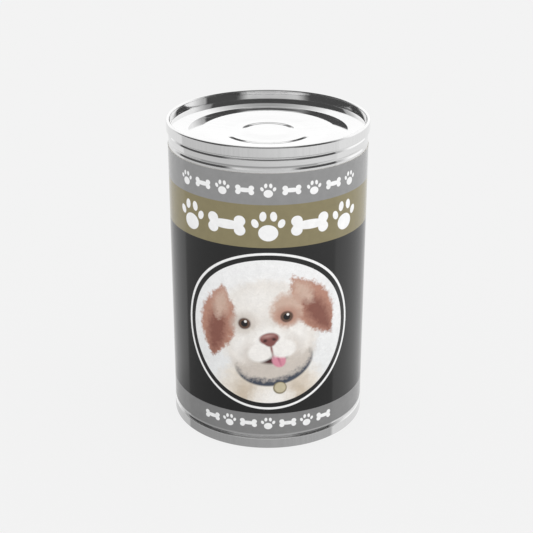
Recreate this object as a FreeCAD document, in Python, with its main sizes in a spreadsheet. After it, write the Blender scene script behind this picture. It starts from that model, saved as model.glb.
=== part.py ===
"""A shut steel food can with a paper label, standing on its lower rim.

Millimetres. The origin is the centre of the lower rim's resting plane and +Z runs up the can's axis.
The middle of the label's front faces -Y, and its glued overlap is at the back.

Four pieces, each in a file of its own:
  body   the rolled wall with its filling, a hoop between two grooves under the top seam
  lid    the upper end: double seam, chuck wall, sloping border, ridge and dished panel with a ring bead
  base   the lower end, pressed as the lid is, with a slightly narrower and taller seam
  label  the paper sleeve, with a second layer where its ends overlap
"""
import FreeCAD, Part

import math
import os

import Sketcher

SIZES = [
    # alias, value, what it measures
    ("total_height", 118.0, "lower rim to upper rim"),
    ("body_radius", 36.6, "outside of the bare wall"),
    ("wall", 0.15, "thickness of the wall where it stands up round each end"),
    ("sheet", 0.2, "thickness of an end's chuck wall at the rim"),
    ("top_overhang", 0.65, "how far the top seam stands out past the wall"),
    ("base_overhang", 0.35, "how far the base seam stands out past the wall"),
    ("top_seam_height", 4.0, "upper rim to the seam's lower edge"),
    ("base_seam_height", 4.3, "lower rim to the seam's upper edge"),
    ("top_rim_round", 0.6, "rounding of both edges of the upper rim"),
    ("base_rim_round", 0.4, "rounding of both edges of the lower rim"),
    ("seam_round", 0.4, "rounding of a seam's edge next to the body"),
    ("neck_depth", 0.3, "how far the wall goes in at its necks and grooves"),
    ("neck_height", 0.5, "upper groove, right under the top seam"),
    ("neck_slope", 0.6, "height over which a groove runs out to the hoop"),
    ("hoop_height", 2.0, "hoop between the two upper grooves"),
    ("hoop_round", 0.5, "rounding of the hoop's edges"),
    ("groove_height", 0.2, "bottom of the groove under the hoop"),
    ("shoulder_slope", 0.7, "height over which that groove runs out to the wall"),
    ("base_neck_height", 0.4, "groove right above the base seam"),
    ("base_neck_slope", 0.5, "height over which that groove runs out to the wall"),
    ("chuck_lean", 0.1, "how far a chuck wall leans in on its way down"),
    ("chuck_depth", 3.4, "rim to the foot of the chuck wall"),
    ("chuck_round", 0.25, "rounding at the foot of the chuck wall"),
    ("border_width", 6.1, "sloping border, from the chuck wall to the foot of the ridge"),
    ("border_drop", 1.9, "fall of the border towards the middle"),
    ("ridge_width", 6.5, "foot of the ridge to its crest"),
    ("ridge_rise", 0.8, "height of the ridge's crest over its foot"),
    ("ridge_foot_round", 3.0, "rounding at the foot of the ridge"),
    ("ridge_crest_round", 10.0, "rounding of its crest"),
    ("dish_drop", 0.55, "fall of the panel from the ridge to the bead"),
    ("dish_width", 6.0, "crest of the ridge to the ring bead, where the panel falls"),
    ("bead_width", 9.8, "width of the ring bead"),
    ("bead_floor", 3.4, "width of its flat bottom"),
    ("bead_depth", 0.55, "how far it is pressed in"),
    ("bead_round", 8.0, "rounding of its edges"),
    ("backing", 0.6, "floor of the bead to the flat underside of an end"),
    ("label_thickness", 0.2, "paper and glue"),
    ("label_gap", 0.8, "bare wall left above and below the label"),
    ("lap_width", 12.0, "glued overlap of the label's ends"),
    ("lap_thickness", 0.12, "second layer of paper at the overlap"),
]

doc = FreeCAD.newDocument("can")


def make_sheet():
    """Put every driving size in a spreadsheet row: its name, its value under an alias, and a note."""
    sheet = doc.addObject("Spreadsheet::Sheet", "Sizes")
    for row, (alias, value, note) in enumerate(SIZES, start=1):
        sheet.set(f"A{row}", alias)
        sheet.set(f"B{row}", str(value))
        sheet.set(f"C{row}", note)
        sheet.setAlias(f"B{row}", alias)
    doc.recompute()
    return sheet


sizes = make_sheet()


def in_sheet(words):
    """Put Sizes. before each alias of a formula such as 'body_radius + wall'."""
    aliases = {alias for alias, value, note in SIZES}
    return " ".join(f"Sizes.{word}" if word in aliases else word for word in words.split())


def bind(target, name, words):
    """Bind a property or constraint of target to a formula."""
    target.setExpression(name, in_sheet(words))


def value_of(words):
    """The number that a formula gives now."""
    result = sizes.evalExpression(in_sheet(words))
    return float(getattr(result, "Value", result))


def turned_body(label, corners):
    """A solid of revolution about Z. Each corner of its half outline is a (radius, height) pair of formulas."""
    body = doc.addObject("PartDesign::Body", label.capitalize() + "Solid")
    body.Label = label
    plane = next(item for item in body.Origin.OriginFeatures if item.Role == "XZ_Plane")
    sketch = body.newObject("Sketcher::SketchObject", label.capitalize() + "Outline")
    sketch.AttachmentSupport = [(plane, "")]
    sketch.MapMode = "FlatFace"
    places = [FreeCAD.Vector(value_of(radius), value_of(height), 0) for radius, height in corners]
    for start, end in zip(places, places[1:] + places[:1]):
        sketch.addGeometry(Part.LineSegment(start, end), False)
    for line in range(len(corners)):
        sketch.addConstraint(Sketcher.Constraint("Coincident", line, 2, (line + 1) % len(corners), 1))
    origin, vertical_axis, horizontal_axis = -1, -2, -1
    for line, (radius, height) in enumerate(corners):
        if radius == "0":
            sketch.addConstraint(Sketcher.Constraint("PointOnObject", line, 1, vertical_axis))
        else:
            spot = sketch.addConstraint(
                Sketcher.Constraint("DistanceX", origin, 1, line, 1, value_of(radius)))
            bind(sketch, f"Constraints[{spot}]", radius)
        if height == "0":
            sketch.addConstraint(Sketcher.Constraint("PointOnObject", line, 1, horizontal_axis))
        else:
            spot = sketch.addConstraint(
                Sketcher.Constraint("DistanceY", origin, 1, line, 1, value_of(height)))
            bind(sketch, f"Constraints[{spot}]", height)
    turn = body.newObject("PartDesign::Revolution", label.capitalize() + "Turned")
    turn.Profile = sketch
    turn.ReferenceAxis = (sketch, ["V_Axis"])
    turn.Angle = 360
    sketch.Visibility = False
    doc.recompute()
    return body


def ring_names(shape, rings):
    """Names of the round edges at the (radius, height) formulas given."""
    names = []
    for radius, height in rings:
        wanted = (value_of(radius), value_of(height))
        for number, edge in enumerate(shape.Edges, start=1):
            if not isinstance(edge.Curve, Part.Circle):
                continue
            found = (edge.Curve.Radius, edge.Curve.Center.z)
            if math.dist(found, wanted) < 1e-4:
                names.append(f"Edge{number}")
    if len(names) != len(rings):
        raise RuntimeError(f"found {len(names)} of {len(rings)} edges to round")
    return names


def round_edges(body, name, size, rings):
    """Round the edges of a turned body at the given rings, by one named size."""
    base = body.Tip
    fillet = body.newObject("PartDesign::Fillet", name)
    fillet.Base = (base, ring_names(base.Shape, rings))
    bind(fillet, "Radius", size)
    doc.recompute()


NECK = "body_radius - neck_depth"
PLUG = f"{NECK} - wall"
END_HEIGHT = "backing + bead_depth + dish_drop - ridge_rise + border_drop + chuck_depth"
LID_UNDERSIDE = f"total_height - ( {END_HEIGHT} )"


def make_end(label, overhang, seam_height, rim_round):
    """A can end, modelled rim up on its flat underside at Z = 0."""
    outside = f"body_radius + {overhang}"
    chuck_top = f"{PLUG} - sheet"
    chuck_foot = f"{chuck_top} - chuck_lean"
    ridge_foot = f"{chuck_foot} - border_width"
    ridge_crest = f"{ridge_foot} - ridge_width"
    panel = "backing + bead_depth"
    crest = f"{panel} + dish_drop"
    border_foot = f"{crest} - ridge_rise"
    border_head = f"{border_foot} + border_drop"
    rim = f"{border_head} + chuck_depth"
    seam_edge = f"{rim} - {seam_height}"
    bead_middle = f"{ridge_crest} - dish_width - bead_width / 2"
    bead_edges = [
        (f"{bead_middle} + bead_width / 2", panel),
        (f"{bead_middle} + bead_floor / 2", "backing"),
        (f"{bead_middle} - bead_floor / 2", "backing"),
        (f"{bead_middle} - bead_width / 2", panel),
    ]
    body = turned_body(label, [
        ("0", "0"),
        (PLUG, "0"),
        (PLUG, seam_edge),
        (outside, seam_edge),
        (outside, rim),
        (chuck_top, rim),
        (chuck_foot, border_head),
        (ridge_foot, border_foot),
        (ridge_crest, crest),
        *bead_edges,
        ("0", panel),
    ])
    name = label.capitalize()
    round_edges(body, name + "SeamRound", "seam_round", [(outside, seam_edge)])
    round_edges(body, name + "RimRound", rim_round, [(outside, rim), (chuck_top, rim)])
    round_edges(body, name + "ChuckRound", "chuck_round", [(chuck_foot, border_head)])
    round_edges(body, name + "FootRound", "ridge_foot_round", [(ridge_foot, border_foot)])
    round_edges(body, name + "CrestRound", "ridge_crest_round", [(ridge_crest, crest)])
    round_edges(body, name + "BeadRound", "bead_round", bead_edges)
    return body


def make_lid():
    """The upper end, its rim at the can's full height."""
    lid = make_end("lid", "top_overhang", "top_seam_height", "top_rim_round")
    bind(lid, ".Placement.Base.z", LID_UNDERSIDE)
    return lid


def make_base():
    """The lower end, turned over so that its rim stands on Z = 0."""
    base = make_end("base", "base_overhang", "base_seam_height", "base_rim_round")
    upside_down = FreeCAD.Rotation(FreeCAD.Vector(1, 0, 0), 180)
    base.Placement = FreeCAD.Placement(FreeCAD.Vector(0, 0, value_of(END_HEIGHT)), upside_down)
    bind(base, ".Placement.Base.z", END_HEIGHT)
    return base


WALL_FOOT = "base_seam_height + base_neck_height + base_neck_slope"
WALL_HEAD = ("total_height - top_seam_height - neck_height - neck_slope - hoop_height - neck_slope"
             " - groove_height - shoulder_slope")


def make_body():
    """The filled wall, which stands up round both ends as a thin collar."""
    seam_foot = "total_height - top_seam_height"
    neck_foot = f"{seam_foot} - neck_height"
    hoop_head = f"{neck_foot} - neck_slope"
    hoop_foot = f"{hoop_head} - hoop_height"
    groove_head = f"{hoop_foot} - neck_slope"
    body = turned_body("body", [
        ("0", END_HEIGHT),
        (PLUG, END_HEIGHT),
        (PLUG, "base_seam_height"),
        (NECK, "base_seam_height"),
        (NECK, "base_seam_height + base_neck_height"),
        ("body_radius", WALL_FOOT),
        ("body_radius", WALL_HEAD),
        (NECK, f"{groove_head} - groove_height"),
        (NECK, groove_head),
        ("body_radius", hoop_foot),
        ("body_radius", hoop_head),
        (NECK, neck_foot),
        (NECK, seam_foot),
        (PLUG, seam_foot),
        (PLUG, LID_UNDERSIDE),
        ("0", LID_UNDERSIDE),
    ])
    round_edges(body, "HoopRound", "hoop_round", [("body_radius", hoop_foot), ("body_radius", hoop_head)])
    return body


LABEL_FOOT = f"{WALL_FOOT} + label_gap"
LABEL_HEAD = f"{WALL_HEAD} - label_gap"


def make_tube(name, inner, outer, angle):
    """A tube, or a sector of one, as tall as the label; its sector starts at +X."""
    pieces = []
    for suffix, radius, sweep in (("Outside", outer, angle), ("Bore", inner, "360")):
        cylinder = doc.addObject("Part::Cylinder", name + suffix)
        bind(cylinder, "Radius", radius)
        bind(cylinder, "Height", f"{LABEL_HEAD} - ( {LABEL_FOOT} )")
        bind(cylinder, "Angle", sweep)
        pieces.append(cylinder)
    tube = doc.addObject("Part::Cut", name)
    tube.Base, tube.Tool = pieces
    return tube


def make_label():
    """The paper sleeve with its overlap centred on +Y."""
    face = "body_radius + label_thickness"
    lap_angle = f"lap_width / ( {face} ) * 180 / pi"
    sleeve = make_tube("Sleeve", "body_radius", face, "360")
    lap = make_tube("Lap", face, f"{face} + lap_thickness", lap_angle)
    bind(lap, ".Placement.Rotation.Angle", f"90 - {lap_angle} / 2")
    label = doc.addObject("Part::Fuse", "LabelPaper")
    label.Label = "label"
    label.Base = sleeve
    label.Tool = lap
    bind(label, ".Placement.Base.z", LABEL_FOOT)
    return label


def check(pieces):
    """Stop if any object failed or any piece isn't one valid solid."""
    for item in doc.Objects:
        if "Invalid" in item.State or "Error" in item.State:
            raise RuntimeError(f"{item.Name} failed: {item.State}")
    for piece in pieces:
        shape = piece.Shape
        if shape.isNull() or not shape.isValid() or len(shape.Solids) != 1:
            raise RuntimeError(f"{piece.Label} is not one valid solid")


def write(pieces):
    """Write each piece to parts/ under its label, and print its size."""
    os.makedirs("parts", exist_ok=True)
    for piece in pieces:
        piece.Shape.exportStep(f"parts/{piece.Label}.step")
        box = piece.Shape.optimalBoundingBox()
        print(f"{piece.Label:6s} volume {piece.Shape.Volume:10.1f} mm3,"
              f" radius to {box.XMax:.2f}, height {box.ZMin:.2f} to {box.ZMax:.2f}")


can = [make_body(), make_lid(), make_base(), make_label()]
doc.recompute()
check(can)
write(can)
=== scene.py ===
import math

import bmesh
import bpy
from mathutils import Matrix, Vector


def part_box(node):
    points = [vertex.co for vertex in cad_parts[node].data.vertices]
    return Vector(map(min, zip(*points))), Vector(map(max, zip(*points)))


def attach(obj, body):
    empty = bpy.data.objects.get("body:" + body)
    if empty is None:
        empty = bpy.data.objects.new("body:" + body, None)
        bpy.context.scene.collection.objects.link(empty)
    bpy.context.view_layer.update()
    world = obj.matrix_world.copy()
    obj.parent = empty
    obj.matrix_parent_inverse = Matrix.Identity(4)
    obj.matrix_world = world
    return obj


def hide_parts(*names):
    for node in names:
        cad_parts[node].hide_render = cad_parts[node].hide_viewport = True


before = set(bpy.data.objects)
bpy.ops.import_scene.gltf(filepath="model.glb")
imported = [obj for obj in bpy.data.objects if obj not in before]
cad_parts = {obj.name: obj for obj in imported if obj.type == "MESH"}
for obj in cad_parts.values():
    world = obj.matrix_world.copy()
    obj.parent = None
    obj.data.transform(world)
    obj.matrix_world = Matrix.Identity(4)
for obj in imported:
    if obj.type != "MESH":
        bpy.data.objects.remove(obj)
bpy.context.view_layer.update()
MM = 0.001
print("nodes:", sorted(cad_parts))

# %% [markdown]
# # A food can with a paper label
#
# The frame holds four solids at their real size: the filled wall, the two pressed ends and the label.
# Polished tinplate is nearly a mirror, and a mirror shows every flat facet of a mesh that was cut
# from a solid. So each piece is turned again here from its own outline, with far finer rounds,
# and takes the place of its node. Where each piece starts and stops is read from the frame.

# %% Where the pieces are
wall_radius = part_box("body")[1].x
wall_foot, wall_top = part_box("body")[0].z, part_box("body")[1].z
lid_radius, can_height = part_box("lid")[1].x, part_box("lid")[1].z
base_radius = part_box("base")[1].x
label_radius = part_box("label")[1].x
label_foot, label_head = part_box("label")[0].z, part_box("label")[1].z
print(f"can {can_height / MM:.1f} mm tall, label from {label_foot / MM:.1f} to {label_head / MM:.1f} mm")

# %% [markdown]
# ## Drawing an outline
#
# A can's parts are round, so each one is half a cross-section spun about the axis.
# An outline is a short list of corners. Where a corner is rounded, a single point is spun about
# the centre of the rounding, which leaves a true arc behind it. A straight run gets one holding
# point just inside each end: smooth shading then bends the normals only in that hair's breadth,
# and the flat itself stays a flat mirror.

# %% Outline helpers
ARC_TURN = math.radians(5)
HOLD = 0.06 * MM


def corner_arc(before, corner, after, rounding):
    """Where a rounded corner starts, its centre, and the angle it turns about +Y."""
    inward = (before - corner).normalized()
    onward = (after - corner).normalized()
    turn = math.pi - inward.angle(onward)
    start = corner + inward * rounding * math.tan(turn / 2)
    centre = corner + (inward + onward).normalized() * rounding / math.cos(turn / 2)
    side = (start - centre).cross(inward * -1).y
    return start, centre, math.copysign(turn, side)


def spun_round(bm, pen, centre, turn):
    """Spin the pen's vertex round a corner, and give the vertex at the arc's end."""
    steps = max(2, round(abs(turn) / ARC_TURN))
    bend = bmesh.ops.spin(bm, geom=[pen], cent=centre, axis=(0, 1, 0), angle=turn, steps=steps)
    return next(item for item in bend["geom_last"] if isinstance(item, bmesh.types.BMVert))


def straight(bm, start, end):
    """An edge from start to end, with a holding point just inside each end if it is long."""
    run = end.co - start.co
    if run.length > 4 * HOLD:
        inset = run.normalized() * HOLD
        for place in (start.co + inset, end.co - inset):
            stop = bm.verts.new(place)
            bm.edges.new((start, stop))
            start = stop
    bm.edges.new((start, end))


def draw_outline(bm, corners):
    """Join (radius, height, rounding) corners into a closed outline in the XZ plane."""
    places = [Vector((radius, 0, height)) for radius, height, rounding in corners]
    first = pen = None
    for spot, corner in enumerate(places):
        after = places[(spot + 1) % len(places)]
        rounding = corners[spot][2]
        start, centre, turn = corner_arc(places[spot - 1], corner, after, rounding)
        arrived = bm.verts.new(start)
        if pen:
            straight(bm, pen, arrived)
        first = first or arrived
        pen = spun_round(bm, arrived, centre, turn) if rounding else arrived
    straight(bm, pen, first)


print(f"arcs in steps of {math.degrees(ARC_TURN):.0f} degrees")

# %% [markdown]
# ## Turning a piece
#
# The outline is spun once round the axis, in steps so fine that the rim stays round in a close
# view. The points on the axis are merged, because a full spin leaves one for each step there.
# Shading is smooth, but it breaks at edges as sharp as the cut edge of a seam.

# %% Turning helpers
TURN_STEPS = 288
SAME_SPOT = 0.0001 * MM
SHARP = math.radians(40)


def finished(name, bm):
    """Make a bmesh an object of the scene, shaded smooth but for its sharp edges."""
    mesh = bpy.data.meshes.new(name)
    bm.to_mesh(mesh)
    bm.free()
    mesh.shade_smooth()
    mesh.set_sharp_from_angle(angle=SHARP)
    piece = bpy.data.objects.new(name, mesh)
    bpy.context.scene.collection.objects.link(piece)
    mesh.calc_loop_triangles()
    print(f"{name}: {len(mesh.loop_triangles)} triangles")
    return piece


def turned(name, corners):
    """A closed piece spun from its outline's corners."""
    bm = bmesh.new()
    draw_outline(bm, corners)
    bmesh.ops.spin(bm, geom=bm.verts[:] + bm.edges[:], cent=(0, 0, 0), axis=(0, 0, 1),
                   angle=math.tau, steps=TURN_STEPS, use_merge=True)
    bmesh.ops.remove_doubles(bm, verts=bm.verts, dist=SAME_SPOT)
    bmesh.ops.recalc_face_normals(bm, faces=bm.faces)
    return finished(name, bm)


print("turned in", TURN_STEPS, "steps")

# %% [markdown]
# ## The two ends
#
# Each end is pressed from one disc of tinplate. Its edge is curled over the wall's edge and rolled
# flat, which makes the double seam, the rim that cans stack on. Inside the rim the sheet drops down
# the chuck wall, slopes gently inward across the border, climbs a low ridge and falls into a
# shallow dish with a ring bead. These small slopes are what breaks up the reflections. The widths
# are taken off one after the other, from the wall inwards.

# %% Widths of an end
NECK_DEPTH, WALL_SHEET = 0.3 * MM, 0.15 * MM
END_SHEET, CHUCK_LEAN = 0.2 * MM, 0.1 * MM
BORDER_WIDTH, RIDGE_WIDTH, DISH_WIDTH = 6.1 * MM, 6.5 * MM, 6.0 * MM
BEAD_WIDTH, BEAD_FLOOR = 9.8 * MM, 3.4 * MM
neck_radius = wall_radius - NECK_DEPTH
plug_radius = neck_radius - WALL_SHEET
chuck_top = plug_radius - END_SHEET
chuck_foot = chuck_top - CHUCK_LEAN
ridge_foot = chuck_foot - BORDER_WIDTH
ridge_crest = ridge_foot - RIDGE_WIDTH
bead_middle = ridge_crest - DISH_WIDTH - BEAD_WIDTH / 2
print(f"ridge at {ridge_crest / MM:.2f} mm, bead at {bead_middle / MM:.2f} mm from the axis")

# %% [markdown]
# The depths add up in the same way, from the rim downwards, and one is taken off where the ridge
# climbs. Each end goes a little deeper than its bead, which gives the solid its thickness.

# %% Depths of an end
CHUCK_DEPTH, BORDER_DROP, RIDGE_RISE = 3.4 * MM, 1.9 * MM, 0.8 * MM
DISH_DROP, BEAD_DROP, BACKING = 0.55 * MM, 0.55 * MM, 0.6 * MM
border_depth = CHUCK_DEPTH + BORDER_DROP
crest_depth = border_depth - RIDGE_RISE
panel_depth = crest_depth + DISH_DROP
bead_depth = panel_depth + BEAD_DROP
end_depth = bead_depth + BACKING
print(f"panel {panel_depth / MM:.2f} mm under the rim, end {end_depth / MM:.2f} mm high")

# %% [markdown]
# One outline serves both ends: only the seams differ. The low relief has roundings of several
# millimetres. They are wider than its slopes are high, as in sheet that was pressed and not cut,
# and they make the soft edges of the reflections.

# %% Press the lid and the base
LID_RIM_ROUND, BASE_RIM_ROUND = 0.6 * MM, 0.4 * MM
SEAM_ROUND, CHUCK_ROUND = 0.4 * MM, 0.25 * MM
FOOT_ROUND, CREST_ROUND, BEAD_ROUND = 3 * MM, 10 * MM, 8 * MM


def end_outline(outside, seam_height, rim_round):
    """Corners of an end as (radius, depth under the rim, rounding)."""
    return [
        (0, end_depth, 0),
        (plug_radius, end_depth, 0),
        (plug_radius, seam_height, 0),
        (outside, seam_height, SEAM_ROUND),
        (outside, 0, rim_round),
        (chuck_top, 0, rim_round),
        (chuck_foot, CHUCK_DEPTH, CHUCK_ROUND),
        (ridge_foot, border_depth, FOOT_ROUND),
        (ridge_crest, crest_depth, CREST_ROUND),
        (bead_middle + BEAD_WIDTH / 2, panel_depth, BEAD_ROUND),
        (bead_middle + BEAD_FLOOR / 2, bead_depth, BEAD_ROUND),
        (bead_middle - BEAD_FLOOR / 2, bead_depth, BEAD_ROUND),
        (bead_middle - BEAD_WIDTH / 2, panel_depth, BEAD_ROUND),
        (0, panel_depth, 0),
    ]


lid_outline = end_outline(lid_radius, can_height - wall_top, LID_RIM_ROUND)
lid = turned("top_end", [(radius, can_height - depth, rounding) for radius, depth, rounding in lid_outline])
base = turned("bottom_end", end_outline(base_radius, wall_foot, BASE_RIM_ROUND))
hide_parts("lid")
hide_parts("base")

# %% [markdown]
# ## The wall
#
# The wall is a sheet rolled into a tube. Under the top seam it is pressed in to a groove, swells to
# a hoop and dips to a second groove before it runs straight down behind the label. It is drawn
# with its filling as one closed outline, so no inside has to be made for a can that stays shut.

# %% Heights on the wall
NECK_HEIGHT, NECK_SLOPE, HOOP_HEIGHT = 0.5 * MM, 0.6 * MM, 2.0 * MM
GROOVE_HEIGHT, SHOULDER_SLOPE = 0.2 * MM, 0.7 * MM
BASE_NECK_HEIGHT, BASE_NECK_SLOPE = 0.4 * MM, 0.5 * MM
neck_end = wall_top - NECK_HEIGHT
hoop_head = neck_end - NECK_SLOPE
hoop_foot = hoop_head - HOOP_HEIGHT
groove_head = hoop_foot - NECK_SLOPE
groove_foot = groove_head - GROOVE_HEIGHT
shoulder = groove_foot - SHOULDER_SLOPE
base_neck_end = wall_foot + BASE_NECK_HEIGHT
base_shoulder = base_neck_end + BASE_NECK_SLOPE
print(f"hoop from {hoop_foot / MM:.1f} to {hoop_head / MM:.1f} mm")

# %% [markdown]
# The real wall passes between two rollers that press the grooves in, so every bend of it is round.
# The roundings of the neck and the grooves are tight, and those of the hoop and the shoulder wider.

# %% Roll the wall
NECK_ROUND, HOOP_ROUND = 0.3 * MM, 0.5 * MM
wall_outline = [
    (0, end_depth, 0),
    (plug_radius, end_depth, 0),
    (plug_radius, wall_foot, 0),
    (neck_radius, wall_foot, 0),
    (neck_radius, base_neck_end, NECK_ROUND),
    (wall_radius, base_shoulder, NECK_ROUND),
    (wall_radius, shoulder, HOOP_ROUND),
    (neck_radius, groove_foot, NECK_ROUND),
    (neck_radius, groove_head, NECK_ROUND),
    (wall_radius, hoop_foot, HOOP_ROUND),
    (wall_radius, hoop_head, HOOP_ROUND),
    (neck_radius, neck_end, NECK_ROUND),
    (neck_radius, wall_top, 0),
    (plug_radius, wall_top, 0),
    (plug_radius, can_height - end_depth, 0),
    (0, can_height - end_depth, 0),
]
wall = turned("rolled_wall", wall_outline)
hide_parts("body")

# %% [markdown]
# ## The paper label
#
# A machine wraps one strip of printed paper round the can and glues its last few millimetres over
# its start. The sleeve is spun like the other pieces, with a hair of rounding at its two edges.

# %% Wrap the label
CUT_ROUND = 0.05 * MM
label_outline = [
    (wall_radius, label_foot, 0),
    (label_radius, label_foot, CUT_ROUND),
    (label_radius, label_head, CUT_ROUND),
    (wall_radius, label_head, 0),
]
label = turned("label_sleeve", label_outline)
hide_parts("label")

# %% [markdown]
# The overlap is a thin slab swept through the lap's angle at the back. Its free end keeps a crisp
# cut edge, and its other end thins out to nothing, where the paper comes up from below. Sleeve and
# overlap are one mesh, so one print runs over both.

# %% Glue the lap
LAP_WIDTH, LAP_THICKNESS, LAP_STEPS = 12 * MM, 0.12 * MM, 16


def add_lap(bm):
    """The glued overlap, centred on the back of the can."""
    lap_turn = LAP_WIDTH / label_radius
    inner, outer = label_radius - LAP_THICKNESS, label_radius + LAP_THICKNESS
    section = ((inner, label_foot), (outer, label_foot), (outer, label_head), (inner, label_head))
    corners = [bm.verts.new((radius, 0, height)) for radius, height in section]
    start = [bm.faces.new(corners)]
    bmesh.ops.rotate(bm, verts=corners, cent=(0, 0, 0),
                     matrix=Matrix.Rotation(math.pi / 2 - lap_turn / 2, 3, "Z"))
    swept = bmesh.ops.spin(bm, geom=start, cent=(0, 0, 0), axis=(0, 0, 1), angle=lap_turn, steps=LAP_STEPS)
    for corner in (item for item in swept["geom_last"] if isinstance(item, bmesh.types.BMVert)):
        if corner.co.xy.length > label_radius:
            corner.co.xy *= label_radius / outer
    bmesh.ops.recalc_face_normals(bm, faces=bm.faces)


bm = bmesh.new()
bm.from_mesh(label.data)
add_lap(bm)
bm.to_mesh(label.data)
bm.free()
label.data.shade_smooth()
label.data.set_sharp_from_angle(angle=SHARP)
print(f"label {(label_head - label_foot) / MM:.1f} mm high, lap {LAP_WIDTH / MM:.0f} mm wide")

# %% [markdown]
# ## Small tools for the materials
#
# All the finishes are built from nodes, with no picture files. Wiring nodes by hand takes four
# lines each, so a few helpers make a node and link its inputs in one go.

# %% Node helpers
def node(tree, kind, put=(), **settings):
    """A new shader node: settings are its properties, put gives its inputs a value or a link."""
    made = tree.nodes.new("ShaderNode" + kind)
    for name, value in settings.items():
        setattr(made, name, value)
    for name, value in dict(put).items():
        if isinstance(value, bpy.types.NodeSocket):
            tree.links.new(value, made.inputs[name])
        else:
            made.inputs[name].default_value = value
    return made


def figure(tree, operation, *values):
    """The output of a Math node."""
    return node(tree, "Math", dict(enumerate(values)), operation=operation).outputs[0]


def ramp(tree, value, start, end, low=0.0, high=1.0, easing="LINEAR"):
    """Low before start, high after end, and a slope in between."""
    ends = {"Value": value, "From Min": start, "From Max": end, "To Min": low, "To Max": high}
    return node(tree, "MapRange", ends, interpolation_type=easing).outputs[0]


def tinted(tree, share, under, over):
    """A colour with another laid over it, by a share of 0 to 1."""
    return node(tree, "Mix", {0: share, 6: under, 7: over}, data_type="RGBA").outputs[2]


def between(tree, share, first, second):
    """A number on the way from the first to the second, by a share of 0 to 1."""
    return node(tree, "Mix", {0: share, 2: first, 3: second}).outputs[0]


def scaled(tree, vector, scale):
    """A vector or a colour times a number."""
    return node(tree, "VectorMath", {0: vector, "Scale": scale}, operation="SCALE").outputs[0]


def parts_of(tree, vector):
    """The X, Y and Z of a vector, each as an output of its own."""
    return node(tree, "SeparateXYZ", {"Vector": vector}).outputs


print("node helpers are ready")

# %% [markdown]
# ## Helpers for a finish
#
# Every finish starts as a plain material whose shader gets its colour, roughness and relief from
# nodes. Real surfaces are never quite even, so the one thing that all of them share is soft, cloudy
# noise. Its raw values bunch around the middle, and they are stretched to fill the whole range.

# %% Finish helpers
NOISE_LOW, NOISE_HIGH = 0.3, 0.7


def shader(name):
    """A new material, its node tree and its Principled shader."""
    material = bpy.data.materials.new(name)
    material.use_nodes = True
    return material, material.node_tree, material.node_tree.nodes["Principled BSDF"]


def in_millimetres(tree):
    """The place on the can, with the axis at the middle of the base, in millimetres."""
    return scaled(tree, node(tree, "TexCoord").outputs["Object"], 1 / MM)


def mottle(tree, place, sizes, low, high, detail=2.0):
    """Cloudy noise between low and high, with blotches of the given size along X, Y and Z."""
    stretched = node(tree, "Mapping", {"Vector": place, "Scale": sizes}, vector_type="TEXTURE").outputs[0]
    cloud = node(tree, "TexNoise", {"Vector": stretched, "Scale": 1.0, "Detail": detail}).outputs[0]
    return ramp(tree, cloud, NOISE_LOW, NOISE_HIGH, low, high)


def press_in(tree, surface, height, depth):
    """Let a height of 0 to 1 raise the surface by up to the depth."""
    bump = node(tree, "Bump", {"Height": height, "Distance": depth, "Strength": 1.0})
    tree.links.new(bump.outputs[0], surface.inputs["Normal"])


def shade(red, green, blue):
    """The linear colour of an ink from its values of 0 to 255."""
    return (*[((part / 255 + 0.055) / 1.055) ** 2.4 for part in (red, green, blue)], 1)


print("noise is stretched from", NOISE_LOW, "to", NOISE_HIGH)

# %% [markdown]
# ## Unrolling the label
#
# The label was printed flat. Here the angle round the can times its radius gives the distance
# across the sheet, and the height above the base is the height on it. With both in millimetres,
# every printed shape is a simple distance: an ellipse is where a scaled distance stays under one.
# Its edge gets a hair of softness, as ink has on paper, and it stays sharp from any distance.
# A strip never winds on quite straight. The print climbs by half a millimetre on its way round, so
# the bands miss each other by that much where the free end lies over the start.

# %% Unroll the label
PRINT_DRIFT = 0.5
printed, press, paper_surface = shader("printed_paper")
spot_on_can = in_millimetres(press)
on_can = parts_of(press, spot_on_can)
turn = figure(press, "ARCTAN2", on_can["X"], figure(press, "MULTIPLY", on_can["Y"], -1))
across = figure(press, "MULTIPLY", turn, label_radius / MM)
way_round = math.tau * label_radius / MM
free_end = (way_round - LAP_WIDTH / MM) / 2
from_start = figure(press, "WRAP", across, free_end, free_end - way_round)
height = figure(press, "MULTIPLY_ADD", from_start, PRINT_DRIFT / way_round, on_can["Z"])
print(f"label unrolls to {way_round:.1f} mm")

# %% [markdown]
# ## Shapes of ink
#
# A mask is 1 where a shape is printed and 0 elsewhere. Two shapes are enough: an oval, and a leaf
# that is pointed at both ends. Each is measured from its own centre in its half widths and half
# heights, which a Mapping node works out, turn and all.

# %% Print helpers
INK_EDGE = 0.06


def flat_place(across, height):
    """A point of the unrolled label as a vector."""
    return node(press, "CombineXYZ", {"X": across, "Y": height}).outputs[0]


def cover(under, ink, mask):
    """Print an ink over a colour where the mask is 1."""
    return tinted(press, mask, under, ink)


def laid_out(place, centre, half_sizes, turned_by):
    """Places measured from the centre of a shape, in its half widths and half heights."""
    return node(press, "Mapping", {
        "Vector": place, "Location": (*centre, 0), "Rotation": (0, 0, math.radians(turned_by)),
        "Scale": (*half_sizes, 1)}, vector_type="TEXTURE").outputs[0]


def within(reach, half_sizes, soft):
    """A mask that is 1 where a shape's reach is under 1, with a soft edge in millimetres."""
    blur = soft / min(half_sizes)
    return ramp(press, reach, 1 - blur, 1 + blur, 1, 0)


def oval(place, centre, half_sizes, turned_by=0, soft=INK_EDGE):
    """A mask that is 1 inside an ellipse."""
    inside = laid_out(place, centre, half_sizes, turned_by)
    reach = node(press, "VectorMath", {0: inside}, operation="LENGTH").outputs["Value"]
    return within(reach, half_sizes, soft)


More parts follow.
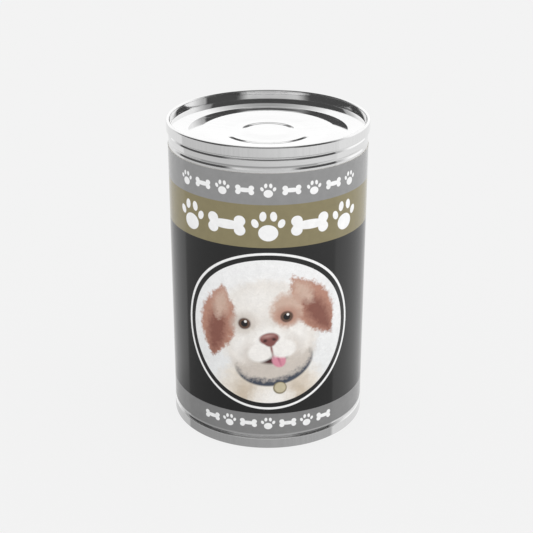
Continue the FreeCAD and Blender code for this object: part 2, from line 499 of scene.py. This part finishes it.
def leaf(place, centre, half_sizes, turned_by=0, soft=INK_EDGE):
    """A mask that is 1 inside a leaf, pointed at both ends of its height."""
    inside = parts_of(press, laid_out(place, centre, half_sizes, turned_by))
    bulge = figure(press, "MULTIPLY", inside["Y"], inside["Y"])
    reach = figure(press, "ADD", figure(press, "ABSOLUTE", inside["X"]), bulge)
    return within(reach, half_sizes, soft)


print("ink edges are", 2 * INK_EDGE, "mm soft")

# %% [markdown]
# ## The bands of colour
#
# The sheet has a grey foot, a black field, a khaki band and a grey head. Each is laid over the one
# below it, as inks are, so only the lower edge of each has to be given.

# %% Print the bands
GREY, KHAKI, BLACK = shade(141, 141, 141), shade(134, 125, 93), shade(27, 27, 27)
FOOT_GREY, WHITE = shade(129, 129, 129), shade(243, 243, 243)
BLACK_FROM, KHAKI_FROM, GREY_FROM = 14.8, 81.2, 97.15
sheet = FOOT_GREY
for ink, level in ((BLACK, BLACK_FROM), (KHAKI, KHAKI_FROM), (GREY, GREY_FROM)):
    sheet = cover(sheet, ink, ramp(press, height, level - INK_EDGE, level + INK_EDGE))
print("bands start at", BLACK_FROM, KHAKI_FROM, GREY_FROM, "mm")

# %% [markdown]
# ## The round window
#
# A thin white ring frames a pale disc on the front. Flat on the sheet both are a little wider than
# high, and the can's curve narrows them. The ring is a large oval less a slightly smaller one.

# %% Ring and disc
PICTURE_HEIGHT = 48.0
RING_OUTER, RING_INNER, DISC_RADIUS = 31.35, 30.45, 28.65
WINDOW_STRETCH = 1.043
window = flat_place(across, figure(press, "SUBTRACT", height, PICTURE_HEIGHT))


def window_mask(radius):
    """A mask of the window's shape, with the given half height."""
    return oval(window, (0, 0), (radius * WINDOW_STRETCH, radius))


ring = figure(press, "SUBTRACT", window_mask(RING_OUTER), window_mask(RING_INNER))
sheet = cover(sheet, WHITE, ring)
print(f"ring {2 * RING_OUTER:.0f} mm high, disc {2 * DISC_RADIUS:.0f} mm")

# %% [markdown]
# ## A puppy for the window
#
# The window holds a plain drawing of a pale puppy with hanging ears, a fawn patch round one eye
# and a collar, its head a little to one side. It is built like a paper collage from ovals and
# leaves, back to front. The long coat comes from the edges: noise pushes the place that each furry
# shape is read at, which frays its outline into tufts. The chest is read in the window's own,
# upright places and frays most, and the head is read in places that are tilted and enlarged.

# %% Fur
HEAD_TILT = math.radians(-11)
HEAD_RISE, HEAD_SCALE = 2.2, 1.1
FRAY_SIZE, FRAY_REACH = 1.6, 4.5
LOOSE_SIZE, LOOSE_REACH = 2.6, 8.0
TUFT, NOISE_MIDDLE = {"Detail": 4.0, "Roughness": 0.65}, (0.5, 0.5, 0.5)


def ruffle(place, size, reach):
    """The same place pushed about by noise, so that what is drawn there frays."""
    tufts = node(press, "TexNoise", {"Vector": place, "Scale": 1 / size, **TUFT}).outputs["Color"]
    push = node(press, "VectorMath", {0: tufts, 1: NOISE_MIDDLE}, operation="SUBTRACT")
    return node(press, "VectorMath", {0: push.outputs[0], 1: (reach, reach, 0), 2: place},
                operation="MULTIPLY_ADD").outputs[0]


puppy = node(press, "Mapping", {
    "Vector": window, "Location": (0, -HEAD_RISE, 0), "Rotation": (0, 0, HEAD_TILT),
    "Scale": (1 / HEAD_SCALE,) * 3}).outputs[0]
furry = ruffle(puppy, FRAY_SIZE, FRAY_REACH)
loose = ruffle(window, LOOSE_SIZE, LOOSE_REACH)
print("coat frays by up to", FRAY_REACH / 2, "mm")

# %% [markdown]
# Few inks are needed: a base, a light and a shade for the coat, two tones each for the ruff and the
# ears, and single ones for the patch, the mouth and the parts of the eyes. The soft edges of the
# shapes mix the steps in between, and every ink is given by its values of 0 to 255.

# %% Colours of the puppy
COAT, COAT_LIGHT, COAT_SHADE = shade(229, 223, 216), shade(243, 240, 236), shade(206, 197, 188)
RUFF, RUFF_SHADE = shade(233, 226, 216), shade(206, 192, 174)
EAR, EAR_DEEP, PATCH = shade(182, 136, 118), shade(134, 86, 74), shade(205, 176, 160)
COLLAR, TAG, TAG_SHADE = shade(70, 76, 88), shade(196, 186, 158), shade(128, 118, 92)
NOSE, NOSE_LIGHT, MOUTH = shade(133, 84, 80), shade(186, 146, 140), shade(72, 42, 42)
TONGUE, TONGUE_DEEP = shade(214, 142, 160), shade(184, 106, 128)
LID, IRIS, PUPIL = shade(88, 68, 62), shade(98, 74, 60), shade(26, 24, 26)
PALE, PALE_SHADE = shade(243, 243, 243), shade(233, 234, 234)
print("coat", [round(part, 2) for part in COAT[:3]])

# %% [markdown]
# Each row of the drawing is a shape, the place it is read at, its centre, its half sizes, its turn
# in degrees, the softness of its edge and its colour. What comes in twos is given once, for the
# side with the patch, and mirrored. At the back is the chest with the collar, then come the head
# and the ears, which hang.

# %% Draw the chest, the head and the ears
def both(shape, place, centre, half_sizes, turned_by, soft, ink):
    """A row for each side of the face."""
    aside, up = centre
    return ((shape, place, (-aside, up), half_sizes, -turned_by, soft, ink),
            (shape, place, centre, half_sizes, turned_by, soft, ink))


CHEST = (
    (oval, loose, (1, -27), (21, 18), 0, 2.4, RUFF),
    (oval, loose, (-9, -25), (4, 7), -20, 3, RUFF_SHADE),
    (oval, loose, (12, -24), (4, 8), 20, 3, RUFF_SHADE),
    (oval, loose, (2, -27), (6, 4), 0, 3, COAT_LIGHT),
    (oval, puppy, (0, -13.2), (13.4, 8.6), 0, 0.3, COLLAR),
    (oval, puppy, (0, -22.9), (2.3, 2.3), 0, 0.2, TAG_SHADE),
    (oval, puppy, (0.1, -22.8), (1.9, 1.9), 0, 0.2, TAG),
    (oval, furry, (0, -11.2), (14.0, 8.2), 0, 1.0, COAT_SHADE),
)
HEAD = (
    (oval, furry, (0, 2.5), (16.0, 14.0), 0, 1.2, COAT),
    *both(oval, furry, (8.6, -5.6), (7.6, 6.4), -20, 1.4, COAT),
    (oval, furry, (-1, 10), (9.0, 5.0), 0, 5, COAT_LIGHT),
    *both(oval, furry, (9, -5), (4.6, 4.2), -20, 3, COAT_LIGHT),
)
EARS = (
    (leaf, furry, (-16.6, 3.6), (6.6, 13.4), -20, 0.8, EAR),
    (leaf, furry, (-17.6, 0.8), (3.4, 9.6), -20, 1.6, EAR_DEEP),
    (leaf, furry, (-14.2, 9.6), (2.6, 5.4), -24, 1.6, PATCH),
    (leaf, furry, (16.6, 3.4), (6.6, 13.4), 22, 0.8, EAR),
    (leaf, furry, (17.8, 0.6), (3.4, 9.6), 22, 1.6, EAR_DEEP),
    (leaf, furry, (14.2, 9.6), (2.6, 5.4), 26, 1.6, PATCH),
)
print(len(CHEST + HEAD + EARS), "shapes behind the face")

# %% [markdown]
# The eyes are a lid, an iris and a pupil on top of each other, with a fleck of light on each. The
# mouth lies under the muzzle, so that only its middle and the tip of the tongue look out.

# %% Draw the face
EYES = (
    (oval, furry, (7.4, 4.4), (5.2, 6.0), -14, 1.2, PATCH),
    (oval, puppy, (-7.2, 2.6), (3.8, 3.2), 12, 1.8, COAT_SHADE),
    (oval, puppy, (7.2, 2.6), (3.6, 3.0), -12, 1.4, EAR),
    *both(oval, puppy, (7.1, 2.4), (2.1, 2.0), 0, 0.3, LID),
    *both(oval, puppy, (7.1, 2.4), (1.7, 1.65), 0, 0.2, IRIS),
    *both(oval, puppy, (7.1, 2.4), (1.15, 1.15), 0, 0.2, PUPIL),
    (oval, puppy, (-6.6, 3.1), (0.45, 0.45), 0, 0.12, COAT_LIGHT),
    (oval, puppy, (7.6, 3.1), (0.45, 0.45), 0, 0.12, COAT_LIGHT),
)
MUZZLE = (
    (oval, puppy, (0, -8.8), (8.8, 6.0), 0, 2.2, COAT_SHADE),
    (oval, puppy, (0, -11.2), (4.6, 2.3), 0, 0.5, MOUTH),
    (oval, puppy, (1.6, -12.6), (2.3, 2.7), 8, 0.3, TONGUE),
    (oval, puppy, (1.6, -12.2), (0.3, 1.7), 8, 0.3, TONGUE_DEEP),
    (oval, furry, (0, -4.8), (6.4, 5.6), 0, 1.6, COAT_LIGHT),
    *both(oval, puppy, (3.7, -8.6), (4.5, 3.4), -14, 0.5, COAT_LIGHT),
    (oval, puppy, (0, -8.0), (0.35, 2.4), 0, 0.3, NOSE),
    (oval, puppy, (0, -4.2), (3.3, 2.1), 0, 0.3, NOSE),
    (oval, puppy, (0, -5.4), (1.9, 1.7), 0, 0.3, NOSE),
    *both(oval, puppy, (1.5, -4.7), (0.7, 0.5), -20, 0.25, MOUTH),
    (oval, puppy, (-0.3, -3.2), (1.7, 0.5), 0, 0.5, NOSE_LIGHT),
)
print(len(EYES + MUZZLE), "shapes of the face")

# %% [markdown]
# The disc itself is pale and hardly darker towards its foot. The shapes are laid over it one after
# the other.

# %% Lay the puppy together
PALE_FROM, SHADED_FROM = 72, 24
picture = cover(PALE, PALE_SHADE, ramp(press, height, PALE_FROM, SHADED_FROM))
puppy_rows = CHEST + HEAD + EARS + EYES + MUZZLE
for shape, place, centre, half_sizes, turned_by, soft, ink in puppy_rows:
    picture = cover(picture, ink, shape(place, centre, half_sizes, turned_by, soft))
print("puppy of", len(puppy_rows), "shapes")

# %% [markdown]
# A second, finer noise draws soft strands over the whole picture, and then the picture is cut to
# the window's shape.

# %% Set the picture in the window
STRAND_DARK, STRAND_LIGHT = 0.90, 1.05
STRAND = {"Scale": 1.1, "Detail": 5.0, "Roughness": 0.7}
tangle = node(press, "TexNoise", {"Vector": loose, **STRAND})
strands = ramp(press, tangle.outputs[0], NOISE_LOW, NOISE_HIGH, STRAND_DARK, STRAND_LIGHT)
sheet = cover(sheet, scaled(press, picture, strands), window_mask(DISC_RADIUS))
print("strands between", STRAND_DARK, "and", STRAND_LIGHT)

# %% [markdown]
# ## Rows of paws and bones
#
# Three rows of white marks fill the grey, khaki and foot bands. Rounding the distance across the
# sheet tells which mark of the row a point belongs to: even ones are paws, odd ones bones. A paw is
# the same left and right and a bone also up and down, so only one half or quarter is drawn and the
# place is folded over with an absolute value, which saves nodes. Each oval is given by its centre,
# half sizes and turn, as shares of the mark's size, and each row by its height, size, spacing and
# number of marks.

# %% Print the rows
PAW = (
    ((0, -0.20), (0.30, 0.26), 0),
    ((0.16, 0.33), (0.105, 0.155), 6),
    ((0.40, 0.10), (0.105, 0.145), -24),
)
BONE = (
    ((0, 0), (0.56, 0.15), 0),
    ((0.44, 0.15), (0.18, 0.17), 0),
)
ROWS = ((102.4, 5.4, 8.2, 9), (89.1, 11.6, 15.2, 5), (10.6, 5.2, 7.4, 7))


def joined(place, ovals, soft):
    """A mask that is 1 inside any of the ovals."""
    mask = oval(place, *ovals[0], soft)
    for more in ovals[1:]:
        mask = figure(press, "MAXIMUM", mask, oval(place, *more, soft))
    return mask


def print_row(middle, size, spacing, count):
    """A mask of paws and bones in turn, in one row centred on the front."""
    step = figure(press, "ROUND", figure(press, "DIVIDE", across, spacing))
    aside = figure(press, "ABSOLUTE", figure(press, "MULTIPLY_ADD", step, -spacing, across))
    up = figure(press, "SUBTRACT", height, middle)
    half = scaled(press, flat_place(aside, up), 1 / size)
    quarter = node(press, "VectorMath", {0: half}, operation="ABSOLUTE").outputs[0]
    paw = joined(half, PAW, INK_EDGE / size)
    bone = joined(quarter, BONE, INK_EDGE / size)
    is_bone = figure(press, "ABSOLUTE", figure(press, "MODULO", step, 2))
    mark = between(press, is_bone, paw, bone)
    in_row = figure(press, "LESS_THAN", figure(press, "ABSOLUTE", step), count / 2)
    return figure(press, "MULTIPLY", mark, in_row)


for middle, size, spacing, count in ROWS:
    sheet = cover(sheet, WHITE, print_row(middle, size, spacing, count))
    print(f"row of {count} marks at {middle} mm")

# %% [markdown]
# ## Varnish, ink and fibres
#
# Label paper is coated, so it mirrors the room faintly. A real sheet is never quite even: ink
# takes a little more here and less there, the varnish is a touch duller in clouds, and the fibres
# give it the slightest tooth. All three come from noise, kept weak so that the mirror stays clear.
# The knife leaves a hair of raw paper along the lap's free end.

# %% Finish the label
INK_THIN, INK_THICK, INK_CLOUD = 1.035, 0.965, (2.5, 2.5, 2.5)
VARNISH_CLEAR, VARNISH_DULL, VARNISH_CLOUD = 0.055, 0.085, (9, 9, 14)
FIBRE, FIBRE_HEIGHT = (0.25, 0.25, 0.12), 0.0006 * MM
RAW_PAPER, RAW_WIDTH, RAW_SHOWN = shade(214, 210, 202), 0.16, 0.7
KNIFE_EDGE = 0.02
sheet = scaled(press, sheet, mottle(press, spot_on_can, INK_CLOUD, INK_THICK, INK_THIN))
past_end = figure(press, "SUBTRACT", across, free_end)
raw_from = ramp(press, past_end, -KNIFE_EDGE, KNIFE_EDGE, 0, RAW_SHOWN)
raw_to = ramp(press, past_end, RAW_WIDTH, RAW_WIDTH + INK_EDGE, 1, 0)
sheet = cover(sheet, RAW_PAPER, figure(press, "MULTIPLY", raw_from, raw_to))
varnish = mottle(press, spot_on_can, VARNISH_CLOUD, VARNISH_CLEAR, VARNISH_DULL)
press.links.new(sheet, paper_surface.inputs["Base Color"])
press.links.new(varnish, paper_surface.inputs["Roughness"])
press_in(press, paper_surface, mottle(press, spot_on_can, FIBRE, 0.0, 1.0, 3.0), FIBRE_HEIGHT)
label.data.materials.append(printed)
print("varnish roughness", VARNISH_CLEAR, "to", VARNISH_DULL)

# %% [markdown]
# ## The cut edges
#
# Where the sheet was cut, the bare paper shows. The faces that don't look outwards, above, below
# and at the lap's free end, get a white, matt material of their own with the paper's faint layers.

# %% Bare the cut edges
CUT_LIGHT, CUT_DARK = shade(236, 234, 228), shade(205, 200, 190)
CUT_ROUGHNESS = 0.85
LAYER, LOOKS_OUT = (0.8, 0.8, 0.05), 0.5
cut_paper, cut_tree, cut_surface = shader("cut_paper")
layers = mottle(cut_tree, in_millimetres(cut_tree), LAYER, 0, 1)
cut_tree.links.new(tinted(cut_tree, layers, CUT_DARK, CUT_LIGHT), cut_surface.inputs["Base Color"])
cut_surface.inputs["Roughness"].default_value = CUT_ROUGHNESS
label.data.materials.append(cut_paper)
cut_faces = 0
for face in label.data.polygons:
    outward = Vector((*face.center.xy, 0)).normalized()
    if abs(face.normal.dot(outward)) < LOOKS_OUT:
        face.material_index = 1
        cut_faces += 1
print("cut faces:", cut_faces)

# %% [markdown]
# ## Tinplate
#
# Tinplate is steel with a skin of tin, bright enough to mirror the room. Two things keep it from
# looking like chrome. The rolls leave fine lines along the sheet, straight across the ends and
# round the wall, and handling leaves faint duller clouds. Both only change the roughness and the
# tint by a few hundredths, and the lines are far finer than the outline, so they are noise, not
# mesh. The rims rub against other cans and are a shade duller at their very edge.

# %% Roll the tinplate
TIN_DARK, TIN_LIGHT = (0.765, 0.765, 0.765, 1), (0.815, 0.815, 0.815, 1)
TIN_CLEAR, TIN_DULL, TIN_RUBBED = 0.045, 0.085, 0.16
END_LINES, WALL_LINES, TIN_CLOUD = (24, 0.22, 24), (9, 9, 0.18), (11, 11, 11)
LINE_SHARE, CLOUD_SHARE, LINE_HEIGHT = 0.4, 0.6, 0.00015 * MM
RUB_FULL, RUB_END = 0.05, 0.3


def tinplate(name, line_sizes):
    """Tinplate with its rolling lines stretched along the longest of the sizes, in millimetres."""
    material, tree, surface = shader(name)
    place = in_millimetres(tree)
    lines = mottle(tree, place, line_sizes, 0, 1, 3.0)
    clouds = mottle(tree, place, TIN_CLOUD, 0, 1, 3.0)
    worn = figure(tree, "MULTIPLY_ADD", lines, LINE_SHARE, figure(tree, "MULTIPLY", clouds, CLOUD_SHARE))
    gloss = ramp(tree, worn, 0, 1, TIN_CLEAR, TIN_DULL)
    level = parts_of(tree, place)["Z"]
    from_rim = figure(tree, "MINIMUM", level, figure(tree, "SUBTRACT", can_height / MM, level))
    rubbed = figure(tree, "MULTIPLY", ramp(tree, from_rim, RUB_FULL, RUB_END, 1, 0), clouds)
    gloss = figure(tree, "MULTIPLY_ADD", rubbed, TIN_RUBBED - TIN_DULL, gloss)
    tree.links.new(tinted(tree, lines, TIN_DARK, TIN_LIGHT), surface.inputs["Base Color"])
    tree.links.new(gloss, surface.inputs["Roughness"])
    surface.inputs["Metallic"].default_value = 1
    press_in(tree, surface, lines, LINE_HEIGHT)
    return material, tree, surface


end_tin = tinplate("end_tinplate", END_LINES)[0]
wall_tin, wall_tree, wall_surface = tinplate("wall_tinplate", WALL_LINES)
print("tinplate roughness", TIN_CLEAR, "to", TIN_DULL)

# %% [markdown]
# ## The side weld
#
# The wall is a flat sheet welded into a tube. The weld is a dull stripe about a millimetre wide,
# which shows at the back where the wall is bare, beside the label's lap. It is only a change of
# finish, since the seam is rolled flush: a mask by the angle round the can dulls and darkens it,
# and noise makes its edges ragged.

# %% Weld the wall
WELD_TURN, WELD_WIDTH = math.radians(24), 1.1
WELD_TINT, WELD_ROUGHNESS = shade(150, 147, 143), 0.32
WELD_EDGE, WELD_RAGGED, WELD_NICKS = 0.1, 0.15, (0.5, 0.5, 0.4)
wall_place = in_millimetres(wall_tree)
wall_at = parts_of(wall_tree, wall_place)
wall_turn = figure(wall_tree, "ARCTAN2", wall_at["X"], wall_at["Y"])
off_weld = figure(wall_tree, "ABSOLUTE", figure(wall_tree, "SUBTRACT", wall_turn, WELD_TURN))
from_weld = figure(wall_tree, "MULTIPLY", off_weld, wall_radius / MM)
nicks = mottle(wall_tree, wall_place, WELD_NICKS, -WELD_RAGGED, WELD_RAGGED)
ragged = figure(wall_tree, "ADD", from_weld, nicks)
weld = ramp(wall_tree, ragged, WELD_WIDTH / 2 - WELD_EDGE, WELD_WIDTH / 2 + WELD_EDGE, 1, 0)
wall_tint = wall_surface.inputs["Base Color"].links[0].from_socket
wall_gloss = wall_surface.inputs["Roughness"].links[0].from_socket
wall_tree.links.new(tinted(wall_tree, weld, wall_tint, WELD_TINT), wall_surface.inputs["Base Color"])
wall_tree.links.new(between(wall_tree, weld, wall_gloss, WELD_ROUGHNESS), wall_surface.inputs["Roughness"])
print(f"weld {WELD_WIDTH} mm wide, {math.degrees(WELD_TURN):.0f} degrees from the back")

# %% [markdown]
# ## Putting the finishes on
#
# Every piece is hung on the body it rides on, and the slot of the part it is made of is printed beside its
# name. A can has no moving parts, so all of them ride on the root.

# %% Dress the pieces
lid.data.materials.append(end_tin)
base.data.materials.append(end_tin)
wall.data.materials.append(wall_tin)
for piece, slot in ((lid, "end_steel"), (base, "end_steel"), (wall, "wall_steel"), (label, "label_paper")):
    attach(piece, "root")
    print(piece.name, "is", slot)

# %% [markdown]
# ## The floor
#
# The can stands on a plain pale floor that runs into a backdrop of the same tone. To the camera
# the floor is mostly a flat tone, so that no horizon shows, with a share of its real shading left
# in, which keeps the can's shadow. Mirrors don't see the floor but the world below the horizon.

# %% Lay the floor
BACKDROP, FLOOR_PAINT, SHADOW_SHOWN = 0.896, 0.8, 0.08
FLOOR_REACH = 3000 * MM
bm = bmesh.new()
bmesh.ops.create_grid(bm, x_segments=1, y_segments=1, size=FLOOR_REACH)
floor = finished("studio_floor", bm)
floor.visible_glossy = False
floor_paint, floor_tree, floor_surface = shader("floor_paint")
floor_surface.inputs["Base Color"].default_value = (FLOOR_PAINT, FLOOR_PAINT, FLOOR_PAINT, 1)
floor_surface.inputs["Roughness"].default_value = 1
floor_surface.inputs["Specular IOR Level"].default_value = 0
floor.data.materials.append(floor_paint)
print("floor reaches", round(FLOOR_REACH / MM), "mm each way")

# %% [markdown]
# The flat tone is a glow of the backdrop's brightness, mixed in for the camera alone.

# %% Flatten the floor for the camera
glow = node(floor_tree, "Emission", {"Color": (BACKDROP, BACKDROP, BACKDROP, 1)}).outputs[0]
to_camera = node(floor_tree, "LightPath").outputs["Is Camera Ray"]
flat_share = figure(floor_tree, "MULTIPLY", to_camera, 1 - SHADOW_SHOWN)
floor_mix = node(floor_tree, "MixShader", {0: flat_share, 1: floor_surface.outputs[0], 2: glow})
floor_tree.links.new(floor_mix.outputs[0], floor_tree.nodes["Material Output"].inputs["Surface"])
print("shadow shown by a share of", SHADOW_SHOWN)

# %% [markdown]
# ## What the metal mirrors
#
# A mirror has no colour of its own: it looks like the room. This room is drawn in the world by
# direction, so it costs no geometry. Behind the can hangs a bright sheet, which comes in from the
# sides in two steps and fades towards the ceiling. It gives the white panel and the soft grey under
# the chuck wall. The front is dark, for the crisp black lines, and a dim patch of ceiling hangs
# overhead.

# %% Hang the sheet behind
DARK_FRONT, BRIGHT_SHEET, CEILING = 0.09, 1.2, 0.5
SHEET_SLANT, FIRST_SHARE = 0.3, 0.45
FIRST_STEP, SECOND_STEP = (0.14, 0.20), (0.25, 0.55)
SHEET_FADE, OVERHEAD = (0.62, 0.83), (0.92, 0.985)
world = bpy.data.worlds.new("studio")
bpy.context.scene.world = world
world.use_nodes = True
sky = world.node_tree
sky.nodes.clear()
towards = parts_of(sky, node(sky, "TexCoord").outputs["Generated"])
sideways, backwards, upwards = towards["X"], towards["Y"], towards["Z"]
slanted = figure(sky, "MULTIPLY_ADD", sideways, SHEET_SLANT, backwards)
first = ramp(sky, slanted, *FIRST_STEP, 0, FIRST_SHARE)
second = ramp(sky, slanted, *SECOND_STEP, 0, 1 - FIRST_SHARE)
behind = figure(sky, "MULTIPLY", figure(sky, "ADD", first, second), ramp(sky, upwards, *SHEET_FADE, 1, 0))
overhead = ramp(sky, upwards, *OVERHEAD, 0, CEILING, "SMOOTHSTEP")
upper = figure(sky, "ADD", ramp(sky, behind, 0, 1, DARK_FRONT, BRIGHT_SHEET), overhead)
print("sheet of", BRIGHT_SHEET, "behind, front of", DARK_FRONT)

# %% [markdown]
# In front hangs a wide soft lamp at the height of the camera, a little to the left. A ray that meets
# the far chuck wall goes on down to the border, and from there up to this lamp, which keeps that
# wall from being black. The lamp's edges fade smoothly, since a hard edge would draw a line on the
# metal.

# %% Set the front lamp
LAMP, LAMP_OFF = 0.75, 0.08
LAMP_SIDES, LAMP_FOOT, LAMP_HEAD = (0.45, 0.68), (0.15, 0.20), (0.40, 0.60)
off_middle = figure(sky, "ABSOLUTE", figure(sky, "ADD", sideways, LAMP_OFF))
lamp_wide = ramp(sky, off_middle, *LAMP_SIDES, 1, 0, "SMOOTHSTEP")
lamp_foot = ramp(sky, upwards, *LAMP_FOOT, 0, 1, "SMOOTHSTEP")
lamp_head = ramp(sky, upwards, *LAMP_HEAD, 1, 0, "SMOOTHSTEP")
lamp_high = figure(sky, "MULTIPLY", lamp_foot, lamp_head)
in_front = figure(sky, "LESS_THAN", backwards, 0)
lamp_shape = figure(sky, "MULTIPLY", figure(sky, "MULTIPLY", lamp_wide, lamp_high), in_front)
upper = figure(sky, "MULTIPLY_ADD", lamp_shape, LAMP, upper)
print("lamp of", LAMP, "in front")

# %% [markdown]
# Below the horizon lies a grey table, which the wall and the label mirror. It is darker near the
# can than far off, and a little darker on the left. Beside and behind the can it gives way to
# brighter sides, which light the can's flanks. The steepest directions, which only the bare metal
# at the foot mirrors, are dimmer there.

# %% Put the table below
TABLE_NEAR, TABLE_FAR = 0.40, 0.76
TABLE_DEPTH, TABLE_LEAN = (-0.485, -0.292), (0.87, 1.13)
TABLE_SLANT, TABLE_EDGE, TABLE_WIDTH = 0.24, (0.11, 0.17), (-0.8, 0.8)
SIDE_LEFT, SIDE_RIGHT, LOW_LEFT, LOW_RIGHT = 0.85, 0.91, 0.56, 0.80
SIDE_WIDTH, SIDE_FOOT = (-0.8, 0.2), (-0.488, -0.466)
table_edge = figure(sky, "MULTIPLY_ADD", sideways, TABLE_SLANT, backwards)
off_table = ramp(sky, table_edge, *TABLE_EDGE, 0, 1, "SMOOTHSTEP")
table = ramp(sky, upwards, *TABLE_DEPTH, TABLE_NEAR, TABLE_FAR)
table = figure(sky, "MULTIPLY", table, ramp(sky, sideways, *TABLE_WIDTH, *TABLE_LEAN))
side_light = ramp(sky, sideways, *SIDE_WIDTH, SIDE_LEFT, SIDE_RIGHT)
low_light = ramp(sky, sideways, *SIDE_WIDTH, LOW_LEFT, LOW_RIGHT)
sides = between(sky, ramp(sky, upwards, *SIDE_FOOT), low_light, side_light)
lower = between(sky, off_table, table, sides)
print("table from", TABLE_NEAR, "to", TABLE_FAR)

# %% [markdown]
# The upper and the lower room meet at a soft horizon. Light Path lets only mirrors see this room.
# The camera sees the plain backdrop, and everything else is lit by one even, plain light, in which
# a colour renders about as written.

# %% Choose by kind of ray
HORIZON = (-0.02, 0.02)
PLAIN_LIGHT, PLAIN_LEAN = 1.12, 0.28
mirrored = between(sky, ramp(sky, upwards, *HORIZON, 0, 1, "SMOOTHSTEP"), lower, upper)
rays = node(sky, "LightPath").outputs
plain = figure(sky, "MULTIPLY_ADD", sideways, PLAIN_LEAN, PLAIN_LIGHT)
light = between(sky, rays["Is Glossy Ray"], plain, mirrored)
light = between(sky, rays["Is Camera Ray"], light, BACKDROP)
background = node(sky, "Background", {"Color": light})
node(sky, "OutputWorld", {"Surface": background.outputs[0]})
print("plain light of", PLAIN_LIGHT)

# %% [markdown]
# ## The camera
#
# The camera looks down at the can by about 23 degrees from under half a metre away. That is close
# enough for the foot to look clearly narrower than the head. It aims at the middle of the can.

# %% Place the camera
CAMERA_PITCH = math.radians(23.42)
CAMERA_DISTANCE = 467.5 * MM
CAMERA_SENSOR, CAMERA_LENS, CAMERA_NEAREST = 36, 82.28, 10 * MM
AIM = Vector((-0.6 * MM, 0, 58.3 * MM))
camera_data = bpy.data.cameras.new("camera")
camera = bpy.data.objects.new("camera", camera_data)
bpy.context.scene.collection.objects.link(camera)
bpy.context.scene.camera = camera
camera.location = AIM + CAMERA_DISTANCE * Vector((0, -math.cos(CAMERA_PITCH), math.sin(CAMERA_PITCH)))
camera.rotation_euler = (math.radians(90) - CAMERA_PITCH, 0, 0)
camera_data.sensor_width = CAMERA_SENSOR
camera_data.lens = CAMERA_LENS
camera_data.clip_start = CAMERA_NEAREST
bpy.context.scene.view_settings.view_transform = "Standard"
print("camera", round(camera.location.length / MM), "mm from the middle of the base")
